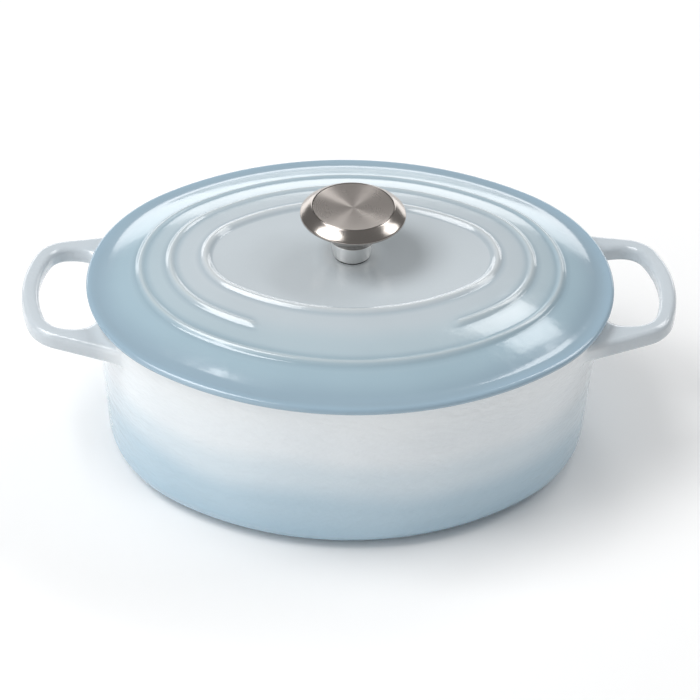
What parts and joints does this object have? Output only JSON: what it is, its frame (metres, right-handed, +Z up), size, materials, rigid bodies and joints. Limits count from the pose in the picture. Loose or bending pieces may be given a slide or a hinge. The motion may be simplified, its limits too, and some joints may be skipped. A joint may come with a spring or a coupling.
{
  "type": "dutch oven",
  "caption": "Oval enamelled cast-iron pot with two loop handles and a shallow domed lid with raised rings and a spun steel knob",
  "frame": {"origin": "Centre of the base, on the surface that the pot stands on", "axes": "+X along the handles, +Y to the back, +Z up"},
  "size_m": [0.3636, 0.232, 0.1539],
  "materials": {
    "pot_enamel": "glossy pale enamel outside, fading to pale blue towards the base; sand-coloured enamel inside",
    "lid_enamel": "glossy pale blue enamel, paler towards the centre",
    "gasket_rubber": "matt",
    "knob_steel": "spun satin stainless",
    "disc_steel": "circular-brushed stainless",
    "insert_brass": "machined",
    "screw_steel": "bright stainless"
  },
  "bodies": {
    "pot": {"pot": "pot_enamel"},
    "lid": {"lid": "lid_enamel", "knob_gasket": "gasket_rubber", "knob_stem": "knob_steel", "knob_threaded_insert": "insert_brass", "knob_shell": "knob_steel", "knob_top_disc": "disc_steel", "screw_washer": "screw_steel", "lock_washer": "screw_steel", "knob_screw": "screw_steel"}
  },
  "joints": [
    {"name": "lid_lift", "type": "slide", "parent": "pot", "child": "lid", "axis": [0, 0, 1], "range_m": [0, 0.15]}
  ]
}
